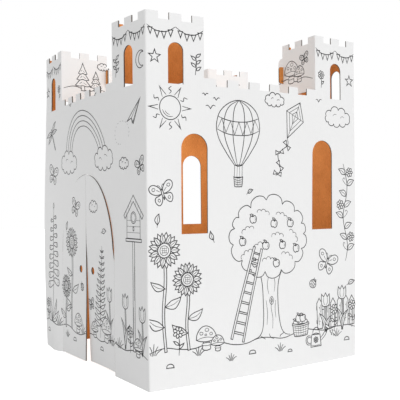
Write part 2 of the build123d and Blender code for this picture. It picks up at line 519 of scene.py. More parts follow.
def leftFlex(point):
    part = max((point - leftLeaf["origin"]).dot(leftLeaf["along"]), 0) / creaseReach
    foot = leafSet["leftFoot"] * part * (1 - smooth(point.z / (flexSet["footTop"] * mm)))
    out = leafSet["leftProud"] * smooth(part / leafSet["hingeRun"]) + foot
    out += leafSet["warp"] * sin(part * pi) * sin(point.z * 14 + 1)
    lower = hang(point.z, leafSet["leftHang"]) * (1 - leafSet["seamHang"] * part)
    return point + leftLeaf["face"] * out * mm - up * lower


def rightFlex(point):
    reach = max((point - rightLeaf["origin"]).dot(rightLeaf["along"]), 0)
    part = reach / creaseReach
    lowness = max(1 - point.z / (leafSet["pushTop"] * mm), 0)
    pushed = leafSet["pushedIn"] * part * lowness ** leafSet["pushFade"]
    above = smooth((point.z / mm - leafSet["proudFrom"]) / leafSet["proudOver"])
    proud = leafSet["rightProud"] * above * (1 - leafSet["seamProud"] * part)
    closed = reach * sin(rightAjar)
    pushed += leafSet["warp"] * sin(part * pi) * sin(point.z * 11)
    lower = hang(point.z, leafSet["rightHang"]) * part**1.5
    return point - rightLeaf["face"] * ((pushed - proud) * mm - closed) - up * lower


leftTree = boardPiece("leftLeafBoard", "left_door", "left_leaf", [leftLeaf], leafKind, leftFlex, leafStep)
rightTree = boardPiece(
    "rightLeafBoard", "right_door", "right_leaf", [rightLeaf], leafKind, rightFlex, leafStep
)


# Line drawings, in mm on their wall's white side: to the right of its middle and up from the floor.
# A motif is drawn in its own place, which the pen's frames move, turn and scale. A size below
# zero mirrors it.
penSet = {"line": 2.7, "fine": 1.8, "shake": 0.5, "pull": 0.19, "ends": 0.6}
pen = {"frames": [], "strokes": [], "masks": []}


def placed(point):
    u, v = point
    for right, rise, size, turn in reversed(pen["frames"]):
        u, v = u * size, v * abs(size)
        c, s = cos(radians(turn)), sin(radians(turn))
        u, v = right + u * c - v * s, rise + u * s + v * c
    return u, v


def at(right, rise, motif, size=1, turn=0, *given):
    pen["frames"].append((right, rise, size, turn))
    motif(*given)
    pen["frames"].pop()


def draw(points, weight=None, closed=False, corners=(), cover=False):
    # one stroke through its points, smooth but for its corners; a covering one hides what it lies on
    shake = penSet["shake"]
    knots = [placed(point) for point in points]
    knots = [(u + random.uniform(-shake, shake), v + random.uniform(-shake, shake)) for u, v in knots]
    count = len(knots)
    handled = []
    for i, (u, v) in enumerate(knots):
        before = knots[i - 1] if closed or i else knots[i]
        after = knots[(i + 1) % count] if closed or i < count - 1 else knots[i]
        if corners == "all" or i in corners:
            left = ((before[0] - u) / 3, (before[1] - v) / 3)
            right = ((after[0] - u) / 3, (after[1] - v) / 3)
        else:
            right = ((after[0] - before[0]) * penSet["pull"], (after[1] - before[1]) * penSet["pull"])
            left = (-right[0], -right[1])
        handled.append(((u + left[0], v + left[1]), (u, v), (u + right[0], v + right[1])))
    pen["strokes"].append((handled, weight or penSet["line"], closed))
    if cover:
        hide(handled)


def fine(points, closed=False, corners=(), cover=False):
    draw(points, penSet["fine"], closed, corners, cover)


def shape(points, corners=()):
    draw(points, closed=True, corners=corners, cover=True)


def hide(handled):
    # the outline of a covering stroke, which hides the strokes before it
    outline = []
    for (_, start, first), (second, end, _) in zip(handled, handled[1:] + handled[:1]):
        for k in range(5):
            t, r = k / 5, 1 - k / 5
            parts = (r**3, 3 * r * r * t, 3 * r * t * t, t**3)
            knots = (start, first, second, end)
            outline.append([sum(p * knot[axis] for p, knot in zip(parts, knots)) for axis in (0, 1)])
    pen["masks"].append((len(pen["strokes"]) - 1, outline))


def around(middle, wide, high, count, start=0, end=360):
    steps = count if end - start == 360 else count - 1
    turns = [radians(start + (end - start) * k / steps) for k in range(count)]
    return [(middle[0] + wide * cos(a), middle[1] + high * sin(a)) for a in turns]


def polar(angle, radius, rise=0):
    return radius * cos(angle), rise + radius * sin(angle)


def mirrored(half):
    # a symmetrical line from its one half
    return half + [(-u, v) for u, v in reversed(half) if u]


def ring(middle, wide, high=None, weight=None, cover=True):
    draw(around(middle, wide, high or wide, 8), weight, closed=True, cover=cover)


def fineRing(middle, wide, high=None):
    ring(middle, wide, high, penSet["fine"])


def dot(middle, radius=1.6):
    draw(around(middle, radius / 2, radius / 2, 6), radius, closed=True)


def scallop(points, bulge=0.4, weight=None, closed=True, cover=True):
    # rounded bumps from point to point, as on a cloud or a tree's crown, clockwise as it is seen
    outline, corners = [], []
    ends = points[1:] + points[:1] if closed else points[1:]
    for (u0, v0), (u1, v1) in zip(points, ends):
        corners.append(len(outline))
        mu, mv, du, dv = (u0 + u1) / 2, (v0 + v1) / 2, (u1 - u0) / 2, (v1 - v0) / 2
        for k in range(4 if closed or (u1, v1) != points[-1] else 5):
            c, s = cos(pi * k / 4), sin(pi * k / 4) * 2 * bulge
            outline.append((mu - du * c - dv * s, mv - dv * c + du * s))
    draw(outline, weight, closed=closed, corners=corners, cover=cover and closed)


def blade(base, tip, width, vein=True, bend=0.0, weight=None, cover=True):
    # a leaf or petal that is pointed at both ends
    (u0, v0), (u1, v1) = base, tip
    du, dv = u1 - u0, v1 - v0
    twice = 2 * (du * du + dv * dv) ** 0.5
    acrossU, acrossV = -dv * width / twice, du * width / twice

    def point(part, side):
        arch = 4 * bend * part * (1 - part)
        u = u0 + du * part - dv * arch + acrossU * side
        v = v0 + dv * part + du * arch + acrossV * side
        return u, v

    rim = [base, point(0.22, 0.72), point(0.48, 1), point(0.78, 0.55), tip]
    rim += [point(0.78, -0.55), point(0.48, -1), point(0.22, -0.72)]
    draw(rim, weight, closed=True, corners=(0, 4), cover=cover)
    if vein:
        fine([base, point(0.45, 0), point(0.82, 0)])


def stem(points, width):
    # two lines side by side along a path
    sides = ([], [])
    for i, (u, v) in enumerate(points):
        u0, v0 = points[max(i - 1, 0)]
        u1, v1 = points[min(i + 1, len(points) - 1)]
        length = ((u1 - u0) ** 2 + (v1 - v0) ** 2) ** 0.5
        off = ((v1 - v0) * width / 2 / length, (u0 - u1) * width / 2 / length)
        for side, sign in zip(sides, (1, -1)):
            side.append((u + off[0] * sign, v + off[1] * sign))
    count = len(points)
    shape(sides[0] + sides[1][::-1], (0, count - 1, count, 2 * count - 1))


def cloud():
    rim = [(-46, -14), (-58, 6), (-34, 24), (4, 30), (38, 20), (60, 0), (40, -16), (10, -20), (-20, -20)]
    scallop(rim, 0.36)
    fine([(-24, 8), (-16, 15), (-6, 14)])
    fine([(14, 2), (22, 8), (32, 5)])


def sun():
    for k in range(12):
        a = radians(30 * k)
        if k % 2:
            draw([polar(a + 0.07 * (-1) ** n, 44 + 8 * n) for n in range(4)])
        else:
            draw([polar(a - 0.17, 43), polar(a, 73), polar(a + 0.17, 43)], corners="all")
    ring((0, 0), 37)
    fine(around((0, 0), 28, 28, 6, 195, 290))
    fine(around((0, 0), 21, 21, 4, 210, 265))


def star():
    points = []
    for k in range(10):
        r = 8 if k % 2 else 19
        points.append((r * sin(k * pi / 5), r * cos(k * pi / 5)))
    shape(points, "all")


def moon():
    back = around((0, 0), 25, 25, 9, 60, 300)
    belly = around((9, 0), 19, 20, 7, 282, 78)
    shape(back + belly, (0, 8, 9, 15))


def bird():
    draw([(-16, 7), (-9, 9), (-3, 3), (0, -2)])
    draw([(0, -2), (3, 4), (9, 10), (17, 8)])


def butterfly():
    for side in (-1, 1):
        for wing in (
            ((2, 5), (9, 22), (27, 36), (44, 32), (45, 16), (30, 2), (12, -2), (2, 0)),
            ((2, -1), (14, -5), (30, -8), (34, -22), (24, -36), (10, -28), (3, -10)),
        ):
            shape([(side * u, v) for u, v in wing])
        fineRing((side * 30, 21), 6, 5)
        fineRing((side * 20, -20), 4.5, 5)
        fine([(side * 8, 6), (side * 16, 13), (side * 21, 16)])
        fine([(side * 1, 14), (side * 5, 25), (side * 12, 30), (side * 14, 27)])
    shape(mirrored([(0, -22), (3, -12), (3.5, 4), (0, 15)]))


def dragonfly():
    for side in (-1, 1):
        blade((side * 2, 6), (side * 56, 20), 15, True, side * 0.04)
        blade((side * 2, 0), (side * 50, -12), 13, True, side * 0.04)
    shape(mirrored([(-2.5, -4), (-2, -30), (-1.5, -62), (0, -66)]))
    for v in (-18, -32, -46):
        fine([(-2, v), (2, v)])
    ring((0, 3), 5.5, 9)
    ring((0, 15), 6, 5)


def ladybird():
    ring((0, 13), 8, 6)
    fine([(-4, 18), (-8, 25)])
    fine([(4, 18), (8, 25)])
    ring((0, 0), 16, 14)
    draw([(0, 13), (0, 0), (0, -14)])
    for u, v in ((-8, 5), (8, 5), (-7, -5), (7, -5)):
        fineRing((u, v), 2.4)


def balloon():
    for side in (-1, 1):
        draw([(side * 17, 34), (side * 16, 78)])
        fine([(side * 6, 34), (side * 5, 76)])
    rim = [(-17, 78), (-52, 122), (-86, 178), (-92, 232), (-66, 284), (0, 312)]
    shape(mirrored(rim), (0, 10))
    for share in (0.28, 0.68):
        for side in (-1, 1):
            draw([(u * share * side, v) for u, v in rim])
    draw(mirrored([(-91, 205), (-50, 190), (0, 185)]))
    draw(mirrored([(-88, 250), (-48, 238), (0, 234)]))
    crest = [(-90, 207), (-72, 243), (-54, 194), (-36, 235), (-18, 187), (0, 233)]
    fine(mirrored(crest), corners="all")
    draw([(-17, 78), (0, 74), (17, 78)])
    shape(mirrored([(-19, 34), (-16, 4), (-10, 0)]), (0, 5))
    draw([(-21, 36), (0, 32), (21, 36)], 3.2)
    for v in (9, 17, 25):
        fine([(-17, v + 1), (0, v - 2), (17, v + 1)])
    for u in (-10, -3, 4, 11):
        fine([(u, 2), (u * 1.1, 31)])


def tailBow():
    for side in (-1, 1):
        shape([(0, 0), (side * 17, 10), (side * 19, -6)], (0, 1, 2))
    ring((0, 0), 3)


def kite():
    shape([(0, 66), (46, 8), (0, -82), (-46, 8)], "all")
    draw([(0, 66), (0, -82)])
    draw([(-46, 8), (46, 8)])
    for part in (0.35, 0.68):
        fine([(0, 8 + 58 * part), (46 * part, 8), (0, 8 - 90 * part), (-46 * part, 8)], True, "all")
    draw([(0, -82), (12, -104), (-4, -132), (-14, -156), (4, -182), (20, -206), (8, -232)])
    for u, v, turn in ((9, -108, -28), (-11, -146, 34), (10, -190, -30), (12, -222, 12)):
        at(u, v, tailBow, turn=turn)


def apple():
    shape(mirrored([(0, 10), (8, 13), (14, 5), (12, -7), (5, -13), (0, -11)]), (0,))
    draw([(0, 9), (1, 15), (4, 19)])
    blade((1, 14), (-11, 20), 7, False)
    fine([(8, 6), (9, 0), (7, -5)])


def appleTree():
    draw([(-72, -2), (-48, 8), (-34, 40), (-30, 110), (-36, 190), (-62, 250)])
    draw([(80, -2), (54, 7), (38, 38), (32, 110), (36, 185), (64, 240)])
    draw([(-48, 8), (-36, 0), (-26, -6)])
    draw([(-10, 10), (-4, -2), (8, -8)])
    draw([(54, 7), (40, 2), (34, -5)])
    for line in (
        [(-18, 40), (-14, 80), (-18, 120)],
        [(4, 26), (8, 60), (2, 96), (6, 130)],
        [(20, 60), (18, 90), (22, 118)],
        [(-6, 140), (-12, 170), (-8, 196)],
        [(16, 146), (20, 176), (14, 200)],
    ):
        fine(line)
    fine([(-4, 118), (5, 132), (13, 118), (5, 104)], True)
    fine([(1, 118), (5, 124), (9, 118), (5, 112)], True)
    crown = around((0, 330), 150, 118, 15)[::-1]
    scallop([(u + random.uniform(-8, 8), v + random.uniform(-8, 8)) for u, v in crown], 0.36)
    for u, v, turn in (
        (-92, 352, 20), (-30, 408, -8), (48, 396, -20), (98, 330, -50), (30, 330, 0), (-42, 300, 12),
        (70, 262, -20), (-96, 274, 30), (-8, 250, 0),
    ):
        at(u, v, tuft, turn=turn)
    for u, v in (
        (-70, 388), (16, 372), (86, 372), (-112, 316), (-18, 300), (52, 300), (112, 286), (-60, 244),
        (26, 240),
    ):
        at(u, v, apple, size=0.92, turn=random.uniform(-15, 15))


def tuft():
    scallop([(-24, -2), (-8, 6), (10, 6), (25, -3)], 0.42, penSet["fine"], closed=False)


def ladder():
    for v in range(24, 300, 34):
        stem([(-20 + v * 0.02, v), (20 - v * 0.02, v)], 6)
    stem([(-24, 0), (-16, 316)], 8)
    stem([(24, 0), (16, 316)], 8)


def basket():
    for u, v, turn in ((-22, 48, 10), (0, 54, -8), (22, 47, 5), (-10, 66, -12), (12, 66, 8)):
        at(u, v, apple, turn=turn)
    shape(mirrored([(-40, 46), (-34, 8), (-24, 0)]), (0, 5))
    stem([(-42, 46), (0, 40), (42, 46)], 7)
    for v in (8, 17, 26, 34):
        fine([(-36 - v * 0.08, v), (0, v - 5), (36 + v * 0.08, v)])
    for u in (-24, -12, 0, 12, 24):
        fine([(u * 0.92, 2), (u * 1.12, 38)])


def sunflower(height):
    path = [(0, 0), (-5, height * 0.35), (3, height * 0.7), (0, height)]
    stem(path, 8)
    blade((-3, height * 0.24), (-56, height * 0.24 + 30), 26, bend=0.12)
    blade((1, height * 0.44), (54, height * 0.44 + 26), 25, bend=-0.12)
    if height > 260:
        blade((1, height * 0.62), (-44, height * 0.62 + 22), 20, bend=0.12)
    for inner, outer, shift in ((19, 52, 0.5), (19, 50, 0)):
        for k in range(11):
            a = radians((k + shift) * 360 / 11)
            blade(polar(a, inner, height), polar(a, outer, height), 15, shift == 0)
    ring((0, height), 21)
    fineRing((0, height), 14)
    for v in (-9, 0, 9):
        fine([(-9, height + v * 0.7), (9, height + v * 0.7)])
        fine([(v * 0.7, height - 9), (v * 0.7, height + 9)])


def toadstool():
    shape([(-10, 34), (-12, 16), (-16, 2), (-6, -3), (8, -3), (16, 2), (12, 16), (10, 34)], (0, 7))
    fine([(-11, 20), (-17, 14), (-6, 11), (6, 11), (17, 14), (11, 20)], True, cover=True)
    rim = [
        (-38, 32), (-34, 52), (-18, 70), (4, 74), (26, 62), (38, 44), (40, 31), (22, 26), (0, 24),
        (-22, 26),
    ]
    shape(rim, (0, 6))
    fine([(-36, 33), (-16, 37), (4, 38), (22, 36), (38, 33)])
    for u, v, r in ((-18, 52, 6), (4, 62, 7), (20, 48, 5.5), (-1, 46, 4)):
        fineRing((u, v), r, r * 0.8)


def picket():
    shape(mirrored([(-11, 0), (-11, 84), (0, 100)]), "all")
    fine([(-3, 12), (-4, 30), (-2, 48)])
    fine([(4, 52), (3, 66), (5, 78)])
    dot((0, 24))
    dot((0, 68))


def fence(count):
    length = 30 * (count - 1)
    for v in (24, 68):
        stem([(-14, v), (length + 14, v)], 11)
    for k in range(count):
        at(30 * k, 0, picket, turn=random.uniform(-1.5, 1.5), size=random.uniform(0.95, 1.03))


def tulip(height):
    stem([(0, 0), (3, height * 0.5), (0, height)], 5)
    blade((-1, 0), (-26, height * 0.72), 15, bend=-0.12)
    blade((2, 0), (26, height * 0.6), 14, bend=0.14)
    cup = mirrored([(0, 0), (-15, 6), (-19, 22), (-17, 42), (-8, 33), (0, 46)])
    shape([(u, v + height - 2) for u, v in cup], (3, 4, 5, 6, 7))
    fine([(-8, height + 31), (-9, height + 14), (-3, height + 3)])
    fine([(8, height + 31), (9, height + 14), (3, height + 3)])


def daisy():
    for k in range(7):
        a = 2 * pi * k / 7
        at(*polar(a, 10.5), ring, 1, 360 * k / 7, (0, 0), 6.5, 4.6)
    ring((0, 0), 5)


def daisyPlant(height):
    draw([(0, 0), (3, height * 0.5), (0, height)])
    blade((1, height * 0.3), (17, height * 0.3 + 13), 8, False)
    blade((1, height * 0.45), (-16, height * 0.45 + 12), 8, False)
    at(0, height, daisy)


def wateringCan():
    draw([(26, 20), (58, 46), (76, 74)])
    draw([(28, 36), (50, 54), (66, 80)])
    at(74, 82, ring, 1, -38, (0, 0), 17, 6)
    draw([(-24, 48), (-50, 52), (-62, 34), (-52, 14), (-30, 12)])
    draw([(-25, 40), (-46, 44), (-54, 33), (-46, 20), (-30, 19)])
    draw([(-20, 56), (-12, 80), (12, 84), (24, 58)])
    shape(mirrored([(-32, 0), (-26, 54)]), "all")
    draw([(-26, 54), (0, 60), (26, 54)])
    fine([(-31, 8), (0, 4), (31, 8)])
    at(0, 30, daisy, size=0.8)
    for u, v in ((94, 74), (104, 60), (98, 46), (112, 40), (90, 58)):
        blade((u, v + 6), (u + 3, v - 5), 5, False, weight=penSet["fine"])


def grass():
    for u, lean, height in ((-14, -12, 18), (-7, -5, 28), (0, 2, 34), (7, 8, 26), (14, 15, 17)):
        draw([(u * 0.5, 0), (u * 0.7 + lean * 0.3, height * 0.55), (u + lean, height)])


def pebble():
    shape([(-12, 0), (-9, 8), (0, 11), (10, 8), (13, 0)], (0, 4))


def foxglove(height):
    draw([(0, 0), (-4, height * 0.5), (2, height)])
    for side in (-1, 1):
        blade((0, 6), (side * 52, 44), 24, bend=side * -0.14)
        blade((0, 10), (side * 30, 84), 20, bend=side * -0.1)
    count = 8
    for k in range(count):
        part = k / count
        v = height * (0.36 + 0.62 * part)
        for side in (-1, 1):
            at(side * 2, v + side * 6, bell, size=side * (1.0 - 0.62 * part), turn=side * (22 + 20 * part))
    blade((2, height - 2), (3, height + 18), 9, False)


def bell():
    rim = [
        (0, 2), (12, 0), (26, -8), (38, -14), (42, -24), (36, -34), (26, -36), (14, -28), (4, -16),
        (-3, -6),
    ]
    shape(rim, (3, 6))
    fine([(38, -14), (31, -18), (27, -26), (26, -36)])
    dot((33, -24))


def vine(height):
    path = [(10 * sin(k * 1.15), height * k / 9) for k in range(10)]
    draw(path)
    for k in range(1, 9):
        u, v = path[k]
        side = 1 if k % 2 else -1
        blade((u, v), (u + side * 32, v + 18), 19, bend=side * 0.08)
        if k % 3 == 1:
            curl = ((0, 0), (12, 8), (20, 20), (14, 26), (10, 19))
            fine([(u - side * off, v + rise) for off, rise in curl])
        if k % 3 == 2:
            at(u - side * 18, v + 8, daisy, size=0.95)


def fern(height):
    rib = [(0, 0), (6, height * 0.35), (18, height * 0.7), (38, height)]
    draw(rib)
    for k in range(2, 15):
        t = k / 15
        u, v = 38 * t**1.7, height * t
        length = 46 * (1 - t) ** 0.7 + 5
        for side in (-1, 1):
            blade((u, v), (u + side * length, v + length * 0.36), 10 * (1 - t) + 4, False, bend=-0.1 * side)


def pine(height):
    stem([(0, 0), (0, height * 0.3)], 14)
    for low, high, wide in ((0.18, 0.55, 0.3), (0.4, 0.78, 0.24), (0.62, 1.0, 0.17)):
        w = height * wide
        points = [(0, height * high), (w * 0.45, height * (low * 0.5 + high * 0.5)), (w, height * low)]
        base = [(w * 0.5, height * (low - 0.025)), (0, height * (low + 0.01))]
        shape(mirrored(points + base), (0, 2, 3, 4, 5, 6))
        for bough in (
            ((0.1, 0.12), (0.3, 0.07), (0.5, 0.05)),
            ((-0.12, 0.14), (-0.26, 0.1), (-0.46, 0.07)),
        ):
            fine([(w * off, height * (low + rise)) for off, rise in bough])


def rainbow():
    for radius in (170, 153, 136, 119):
        draw(around((0, 0), radius, radius, 13, 0, 180))
    at(-146, 0, cloud, size=1.15)
    at(146, -2, cloud, size=-1.1)


def paperPlane():
    for k in range(15):
        t = k / 15
        a = radians(-50 + 330 * t)
        dash = [(-92 + 46 * cos(turn) - 40 * t, -46 + 40 * sin(turn)) for turn in (a, a + 0.15)]
        fine(dash)
    shape([(-54, -22), (54, 30), (-12, -44), (-22, -20)], "all")
    draw([(54, 30), (-22, -20)], corners="all")
    draw([(54, 30), (-6, -30), (-12, -44)], corners="all")
    draw([(-54, -22), (-22, -20)], corners="all")
    draw([(-22, -20), (-20, -40), (-6, -30)], corners="all")


def birdHouse(height):
    stem([(0, 0), (0, height)], 12)
    fine([(-3, 40), (-2, 90), (-4, 130)])
    fine([(3, 150), (2, 200), (4, 250)])
    shape(mirrored([(-42, height), (-42, height + 74), (0, height + 116)]), "all")
    roof = [(0, height + 128), (-62, height + 68), (-54, height + 58), (0, height + 110)]
    shape(mirrored(roof), "all")
    for v in (18, 36, 54):
        fine([(-42, height + v), (42, height + v)])
    ring((0, height + 62), 17)
    fineRing((0, height + 62), 12)
    stem([(0, height + 34), (0, height + 24)], 6)
    shape([(-50, height - 8), (50, height - 8), (50, height), (-50, height)], "all")
    for side in (-1, 1):
        for part in (0.25, 0.5, 0.75):
            u, v = side * 62 * part, height + 128 - 60 * part
            fine([(u, v), (u - side * 2, v - 14)])


def windmill():
    shape(mirrored([(-70, 0), (-42, 230)]), "all")
    for v, u0, u1 in (
        (26, -60, -36), (52, -30, -6), (44, 30, 56), (96, -52, -26), (128, 6, 32), (160, -44, -18),
        (186, 10, 34), (82, 34, 58), (206, -30, -10),
    ):
        fine([(u0, v + 12), (u0, v), (u1, v)], corners="all")
    shape(mirrored([(-50, 228), (-46, 262), (-20, 292)]), (0, 5))
    shape(mirrored([(-18, 0), (-18, 44), (-12, 58), (0, 64)]), (0, 6))
    fine([(0, 4), (0, 62)])
    shape(mirrored([(-11, 110), (-11, 134), (0, 144)]), (0, 4))
    fine([(0, 112), (0, 142)])
    fine([(-11, 126), (11, 126)])
    for turn in (24, 114, 204, 294):
        at(0, 254, windmillSail, turn=turn)
    ring((0, 254), 9)


def windmillSail():
    draw([(0, -5), (0, 150)], 3.2)
    shape([(0, 30), (34, 34), (34, 148), (0, 150)], "all")
    for v in range(48, 148, 17):
        fine([(0, v), (34, v + 1)])
    for u in (11, 23):
        fine([(u, 32), (u, 148)])


def bush():
    rim = [(-58, 0), (-64, 30), (-38, 58), (-4, 66), (34, 56), (62, 32), (56, 0)]
    rim += [(30, -5), (0, -7), (-30, -5)]
    scallop(rim, 0.34)
    for u, v in ((-34, 28), (-4, 40), (30, 26), (6, 12)):
        at(u, v, tuft, size=0.7)
    for u, v in ((-42, 40), (14, 52), (44, 18), (-18, 14)):
        at(u, v, daisy, size=0.75)


def fallenLeaf():
    blade((0, 0), (20, 24), 15, bend=0.08)
    draw([(0, 0), (-5, -7)])


# In mm, how far a wall's print reaches from its middle, and where its towers are
sheetEdge = 404
towerWidth = 188
towerMiddle = 311.5


def ground(height):
    count = 17
    places = [2 * sheetEdge * k / count - sheetEdge for k in range(count + 1)]
    draw([(u, height + 7 * sin(k * 1.7) + 4 * sin(k * 0.6)) for k, u in enumerate(places)])


def hills(height):
    draw([(-sheetEdge, height), (-sheetEdge * 0.6, height + 34), (0, height + 10)])
    draw([(-40, height + 22), (sheetEdge * 0.5, height + 46), (sheetEdge, height + 4)])


def bunting():
    for side in (-1, 1):
        half = side * towerWidth / 2
        path = [(half * part, -18 * 4 * part * (1 - part)) for part in (0, 0.25, 0.5, 0.75, 1)]
        for part in (0.17, 0.4, 0.63, 0.86):
            u, v = half * part, -72 * part * (1 - part)
            draw([(u - 7.5, v), (u, v - 19), (u + 7.5, v)], closed=True, corners="all")
        draw(path)


def towerSky(left, right):
    at(0, 1040, bunting)
    at(-0.36 * towerWidth, 950, left)
    at(0.36 * towerWidth, 944, right)


def smallFlower():
    draw([(0, -40), (2, -20), (0, -8)])
    blade((1, -28), (13, -18), 7, False)
    at(0, 2, daisy, size=0.8)


def sprig():
    draw([(-4, -38), (0, -10), (-1, 20)])
    for v, side in ((-24, 1), (-14, -1), (-4, 1), (6, -1), (15, 1)):
        blade((-1, v), (side * 16 - 1, v + 11), 8, False)


# Each wall's sheet: right, up, motif, then its size, its turn and what else it takes
sheets = {
    "front": [
        (0, 0, ground, 1, 0, 96), (-25, 672, rainbow), (-118, 868, bird, 0.8), (-70, 884, bird, 0.6),
        (100, 876, bird, 0.7), (-330, 790, dragonfly, 1, 28), (-322, 640, butterfly, 0.9, -14),
        (-322, 98, foxglove, 1, 0, 420), (-376, 94, daisyPlant, 1, 0, 70), (-262, 96, grass),
        (-362, 60, pebble), (336, 800, paperPlane, 0.8, 12), (262, 650, cloud, 0.5),
        (366, 640, butterfly, 0.62, 20), (322, 98, birdHouse, 1, 0, 330), (372, 96, tulip, 1, 0, 96),
        (264, 98, tulip, 1, 0, 120), (296, 92, daisyPlant, 1, 0, 60), (346, 88, toadstool, 0.7),
        (222, 92, grass),
        # over the doorway and its leaves
        (-196, 440, fallenLeaf, 1, 20), (-150, 98, sunflower, 1, 0, 300),
        (-205, 96, sunflower, 0.8, 0, 180), (-92, 94, toadstool, 0.85),
        (-112, 520, butterfly, 0.75, -20), (-60, 250, ladybird, 0.8, 40), (-50, 92, grass),
        (-120, 60, pebble), (-190, 62, grass, 0.8), (70, 98, fern, 1, 0, 300),
        (150, 96, tulip, 1, 0, 130), (120, 94, toadstool), (22, 94, toadstool, -0.7), (172, 90, grass),
        (40, 520, cloud, 0.55), (110, 440, fallenLeaf, 1, -40), (0, 200, butterfly, 0.5, 15),
        (80, 60, pebble), (-towerMiddle, 0, towerSky, 1, 0, star, smallFlower),
        (towerMiddle, 0, towerSky, 1, 0, sprig, moon),
    ],
    "right": [
        (0, 0, ground, 1, 0, 108), (-330, 806, sun, 0.92), (-96, 580, balloon, 0.84),
        (40, 850, cloud, 0.62), (-196, 812, bird), (-176, 838, bird, 0.7), (-214, 850, bird, 0.6),
        (124, 800, kite, 0.86, -24), (322, 812, cloud, 0.95), (232, 862, bird, 0.8),
        (-356, 560, butterfly, 0.85, 18), (-374, 470, fallenLeaf, 1, 30), (28, 110, appleTree, 0.95),
        (-104, 112, ladder, 0.92, -17), (150, 98, basket, 0.85), (-352, 106, sunflower, 1, 0, 290),
        (-276, 104, sunflower, 0.95, 0, 215), (-216, 100, toadstool, 0.9), (-176, 92, toadstool, -0.6),
        (-392, 100, grass), (-310, 92, daisyPlant, 1, 0, 66), (-244, 84, grass, 0.8), (-50, 66, pebble),
        (60, 60, grass, 0.8), (100, 54, pebble, 0.7), (236, 112, fence, 1, 0, 6),
        (262, 100, tulip, 1, 0, 84), (300, 96, daisyPlant, 1, 0, 74), (338, 100, tulip, 1, 0, 104),
        (386, 102, daisyPlant, 1, 0, 76), (312, 78, grass, 0.8), (216, 56, wateringCan, 0.72),
        (270, 330, butterfly, 0.95, -22), (368, 250, fallenLeaf, 1, -30),
        (206, 262, ladybird, 0.9, -40), (356, 330, vine, 1, 0, 330), (-186, 420, fallenLeaf, 0.9, 60),
        (-60, 560, fallenLeaf, 0.7, -20), (360, 60, pebble), (-340, 60, pebble), (-130, 54, grass, 0.7),
        (-towerMiddle, 0, towerSky, 1, 0, star, sprig), (towerMiddle, 0, towerSky, 1, 0, smallFlower, star),
    ],
    "back": [
        (0, 0, hills, 1, 0, 150), (0, 0, ground, 1, 0, 92), (0, 150, windmill, 1.1),
        (-250, 770, cloud, 1.2), (210, 800, sun, 0.9), (120, 640, cloud, 0.7), (-120, 820, bird),
        (-150, 850, bird, 0.7), (-60, 850, bird, 0.8), (-300, 130, pine, 1, 0, 330),
        (-220, 118, pine, 1, 0, 240), (320, 134, pine, 1, 0, 300), (-384, 96, fence, 1, 0, 6),
        (110, 96, bush), (230, 92, bush, 0.8), (-120, 88, tulip, 1, 0, 90),
        (-90, 90, daisyPlant, 1, 0, 66), (290, 84, tulip, 1, 0, 96), (330, 88, toadstool, 0.9),
        (376, 86, grass), (-196, 650, kite, 0.8, 14), (320, 560, balloon, 0.5), (-40, 76, grass),
        (20, 70, pebble), (180, 60, grass, 0.8), (-200, 62, pebble),
        (-towerMiddle, 0, towerSky, 1, 0, moon, star), (towerMiddle, 0, towerSky, 1, 0, star, smallFlower),
    ],
    "left": [
        (0, 0, ground, 1, 0, 104), (60, 560, balloon, 0.95), (-64, 846, cloud, 0.7),
        (330, 812, moon, 1.3), (-330, 800, star), (-290, 830, star, 0.6), (-370, 840, star, 0.7),
        (250, 850, star, 0.7), (-140, 740, kite, 0.72, 18), (182, 640, cloud, 0.7),
        (-40, 106, birdHouse, 1, 0, 320), (70, 108, pine, 1, 0, 330), (-130, 104, pine, 1, 0, 250),
        (150, 100, pine, 1, 0, 200), (-330, 102, foxglove, 0.95, 0, 300), (-250, 100, bush),
        (260, 102, sunflower, 1, 0, 230), (340, 100, sunflower, 1, 0, 280), (-372, 96, toadstool, 0.7),
        (20, 92, tulip, 1, 0, 90), (-80, 90, daisyPlant, 1, 0, 60), (216, 88, toadstool, 0.8),
        (300, 84, grass), (384, 84, daisyPlant, 1, 0, 70), (-180, 72, grass), (110, 64, pebble),
        (-352, 560, butterfly, 0.8, -12), (360, 560, butterfly, 0.8, 16), (150, 460, fallenLeaf),
        (-towerMiddle, 0, towerSky, 1, 0, sprig, star), (towerMiddle, 0, towerSky, 1, 0, star, moon),
    ],
}
flapGround = (0, 0, draw, 1, 0, [(-95, 948), (-50, 958), (0, 944), (45, 952), (95, 940)])
flapSheets = [
    [flapGround, (-20, 944, pine, 1, 0, 100), (32, 946, pine, 1, 0, 72), (62, 1036, cloud, 0.38)],
    [flapGround, (-24, 944, toadstool), (22, 942, toadstool, -0.7), (50, 1014, butterfly, 0.5, 15)],
    [
        flapGround, (-34, 946, tulip, 1, 0, 34), (8, 944, tulip, 1, 0, 52),
        (46, 944, daisyPlant, 1, 0, 44), (-62, 1034, bird, 0.7), (62, 1038, cloud, 0.36),
    ],
    [
        flapGround, (6, 950, bush, 0.72), (-62, 950, daisyPlant, 1, 0, 50), (48, 1016, bird, 0.8),
        (20, 1030, bird, 0.6),
    ],
]

inkSet = {
    "colour": (0.022, 0.022, 0.024),
    "worn": (0.07, 0.07, 0.075),
    "lift": 0.15 * mm,
    "grain": 5,  # longest piece of a ribbon, in mm
    "castFrom": 50 * mm,  # how far off a board the cast of a print starts, and how far it goes
    "castOver": 100 * mm,
    "facing": 0.7,  # how squarely a board must face the cast
}


def makeInk():
    material, tree, shader = newMaterial("lineInk", 0.55, 0.3)
    source = addNode(tree, "TexCoord")
    thin = noise(tree, source.outputs["Object"], 240, 3)
    colour = mixColour(tree, spread(tree, thin, 0.45, 0.7), inkSet["colour"], inkSet["worn"])
    tree.links.new(colour, shader.inputs["Base Color"])
    return material


